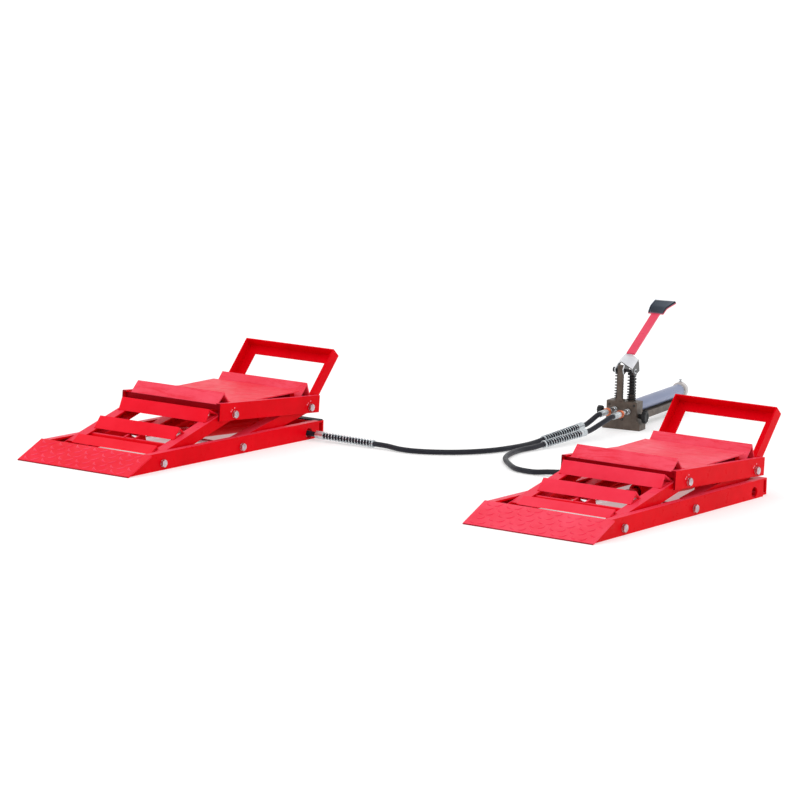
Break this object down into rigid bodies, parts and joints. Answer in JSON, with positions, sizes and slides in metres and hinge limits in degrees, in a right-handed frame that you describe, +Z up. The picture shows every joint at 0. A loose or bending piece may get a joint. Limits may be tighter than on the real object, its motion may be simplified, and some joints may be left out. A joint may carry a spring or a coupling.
{
  "type": "hydraulic car lift",
  "caption": "Low hydraulic car lift: linked ramp platforms on parallel arms with wheel cradles, chocks and carrying handles, raised by rams fed through guarded hoses from a foot pump.",
  "frame": {"origin": "middle of the footprint of the lifts and pump, on the floor", "axes": "+Z up, +Y from the ramp tips towards the handles and the pump, +X across the pair of lifts"},
  "size_m": [1.748, 2.0022, 0.3459],
  "materials": {
    "red_paint": "gloss",
    "zinc_plate": "satin",
    "black_steel": "satin",
    "chrome": "gloss",
    "phosphate": "matte",
    "tank_paint": "satin",
    "pale_paint": "satin",
    "pale_plastic": "matte",
    "black_plastic": "matte",
    "pad_rubber": "matte",
    "hose_rubber": "satin",
    "bright_steel": "gloss"
  },
  "bodies": {
    "base": {"left_base_frame": "red_paint", "left_ramp_plate": "red_paint", "left_base_front_bolt": "zinc_plate", "left_base_mid_bolt": "zinc_plate", "right_base_frame": "red_paint", "right_ramp_plate": "red_paint", "right_base_front_bolt": "zinc_plate", "right_base_mid_bolt": "zinc_plate", "pump_block": "phosphate", "pump_tank_bracket": "phosphate", "pump_tank": "tank_paint", "pump_tank_cap": "pale_plastic", "pump_breather": "black_plastic", "pump_fulcrum_link": "phosphate", "pump_fulcrum_pin": "black_steel", "pump_back_coupler": "bright_steel", "pump_front_coupler": "bright_steel", "left_hose": "hose_rubber", "right_hose": "hose_rubber", "left_lift_hose_guard": "bright_steel", "right_lift_hose_guard": "bright_steel", "back_pump_hose_guard": "bright_steel", "front_pump_hose_guard": "bright_steel"},
    "left_climb_arm": {"left_climb_arm": "red_paint", "left_slat_low": "red_paint", "left_slat_mid": "red_paint", "left_slat_top": "red_paint"},
    "left_rear_arm": {"left_rear_arm": "red_paint"},
    "left_platform": {"left_platform_frame": "red_paint", "left_wheel_cradle": "red_paint", "left_front_chock": "red_paint", "left_rear_chock": "red_paint", "left_handle": "red_paint", "left_platform_front_bolt": "zinc_plate", "left_platform_rear_bolt": "zinc_plate"},
    "left_ram_cylinder": {"left_ram_cylinder": "red_paint"},
    "left_ram_rod": {"left_ram_rod": "chrome"},
    "right_climb_arm": {"right_climb_arm": "red_paint", "right_slat_low": "red_paint", "right_slat_mid": "red_paint", "right_slat_top": "red_paint"},
    "right_rear_arm": {"right_rear_arm": "red_paint"},
    "right_platform": {"right_platform_frame": "red_paint", "right_wheel_cradle": "red_paint", "right_front_chock": "red_paint", "right_rear_chock": "red_paint", "right_handle": "red_paint", "right_platform_front_bolt": "zinc_plate", "right_platform_rear_bolt": "zinc_plate"},
    "right_ram_cylinder": {"right_ram_cylinder": "red_paint"},
    "right_ram_rod": {"right_ram_rod": "chrome"},
    "pump_pedal": {"pump_pedal_head": "pale_paint", "pump_pedal_lever": "red_paint", "pump_pedal_pad": "pad_rubber"},
    "pump_left_plunger": {"pump_left_plunger": "chrome", "pump_left_return_spring": "black_steel"},
    "pump_left_release_knob": {"pump_left_release_knob": "black_plastic"},
    "pump_right_plunger": {"pump_right_plunger": "chrome", "pump_right_return_spring": "black_steel"},
    "pump_right_release_knob": {"pump_right_release_knob": "black_plastic"}
  },
  "joints": [
    {"name": "left_lift", "type": "hinge", "parent": "base", "child": "left_climb_arm", "pos_m": [-0.684, -0.84564, 0.0184], "axis": [1, 0, 0], "range_deg": [0, 36.2]},
    {"name": "left_rear_arm_pivot", "type": "hinge", "parent": "base", "child": "left_rear_arm", "pos_m": [-0.684, -0.50164, 0.0184], "axis": [1, 0, 0], "range_deg": [0, 40]},
    {"name": "left_platform_pivot", "type": "hinge", "parent": "left_climb_arm", "child": "left_platform", "pos_m": [-0.684, -0.52426, 0.10934], "axis": [1, 0, 0], "range_deg": [-33, 0]},
    {"name": "left_ram_cylinder_pivot", "type": "hinge", "parent": "base", "child": "left_ram_cylinder", "pos_m": [-0.684, -0.20114, 0.026], "axis": [1, 0, 0], "range_deg": [-6.5, 0]},
    {"name": "left_ram_rod_pivot", "type": "hinge", "parent": "left_climb_arm", "child": "left_ram_rod", "pos_m": [-0.684, -0.73018, 0.05107], "axis": [1, 0, 0], "range_deg": [-42.5, 0]},
    {"name": "right_lift", "type": "hinge", "parent": "base", "child": "right_climb_arm", "pos_m": [0.684, -0.75364, 0.0184], "axis": [1, 0, 0], "range_deg": [0, 40]},
    {"name": "right_rear_arm_pivot", "type": "hinge", "parent": "base", "child": "right_rear_arm", "pos_m": [0.684, -0.40964, 0.0184], "axis": [1, 0, 0], "range_deg": [0, 42.5]},
    {"name": "right_platform_pivot", "type": "hinge", "parent": "right_climb_arm", "child": "right_platform", "pos_m": [0.684, -0.42694, 0.08784], "axis": [1, 0, 0], "range_deg": [-37.5, 0]},
    {"name": "right_ram_cylinder_pivot", "type": "hinge", "parent": "base", "child": "right_ram_cylinder", "pos_m": [0.684, -0.10914, 0.026], "axis": [1, 0, 0], "range_deg": [-7.5, 0]},
    {"name": "right_ram_rod_pivot", "type": "hinge", "parent": "right_climb_arm", "child": "right_ram_rod", "pos_m": [0.684, -0.63626, 0.04335], "axis": [1, 0, 0], "range_deg": [-47.5, 0]},
    {"name": "pedal", "type": "hinge", "parent": "base", "child": "pump_pedal", "pos_m": [0.0453, 0.5763, 0.172], "axis": [0.9877, 0.1564, 0], "range_deg": [-20, 0], "stiffness_Nm_per_rad": 10, "springref_deg": 22.92},
    {"name": "left_plunger_slide", "type": "slide", "parent": "base", "child": "pump_left_plunger", "axis": [0, 0, 1], "range_m": [-0.008, 0], "deforming": ["pump_left_return_spring"]},
    {"name": "left_release_knob_turn", "type": "hinge", "parent": "base", "child": "pump_left_release_knob", "pos_m": [0.04287, 0.59161, 0.049], "axis": [0.9877, 0.1564, 0], "range_deg": [0, 180]},
    {"name": "right_plunger_slide", "type": "slide", "parent": "base", "child": "pump_right_plunger", "axis": [0, 0, 1], "range_m": [-0.008, 0], "deforming": ["pump_right_return_spring"]},
    {"name": "right_release_knob_turn", "type": "hinge", "parent": "base", "child": "pump_right_release_knob", "pos_m": [0.04287, 0.59161, 0.04], "axis": [0.9877, 0.1564, 0], "range_deg": [0, 180]}
  ],
  "couplings": [
    {"joint": "left_rear_arm_pivot", "follows": "left_lift", "ratio": 1.0961},
    {"joint": "left_platform_pivot", "follows": "left_lift", "ratio": -0.902},
    {"joint": "left_ram_cylinder_pivot", "follows": "left_lift", "ratio": -0.1735},
    {"joint": "left_ram_rod_pivot", "follows": "left_lift", "ratio": -1.1735},
    {"joint": "right_rear_arm_pivot", "follows": "right_lift", "ratio": 1.0594},
    {"joint": "right_platform_pivot", "follows": "right_lift", "ratio": -0.9362},
    {"joint": "right_ram_cylinder_pivot", "follows": "right_lift", "ratio": -0.1795},
    {"joint": "right_ram_rod_pivot", "follows": "right_lift", "ratio": -1.1795},
    {"joint": "left_plunger_slide", "follows": "pedal", "m_per_rad": 0.0212},
    {"joint": "right_plunger_slide", "follows": "pedal", "m_per_rad": 0.0212}
  ]
}
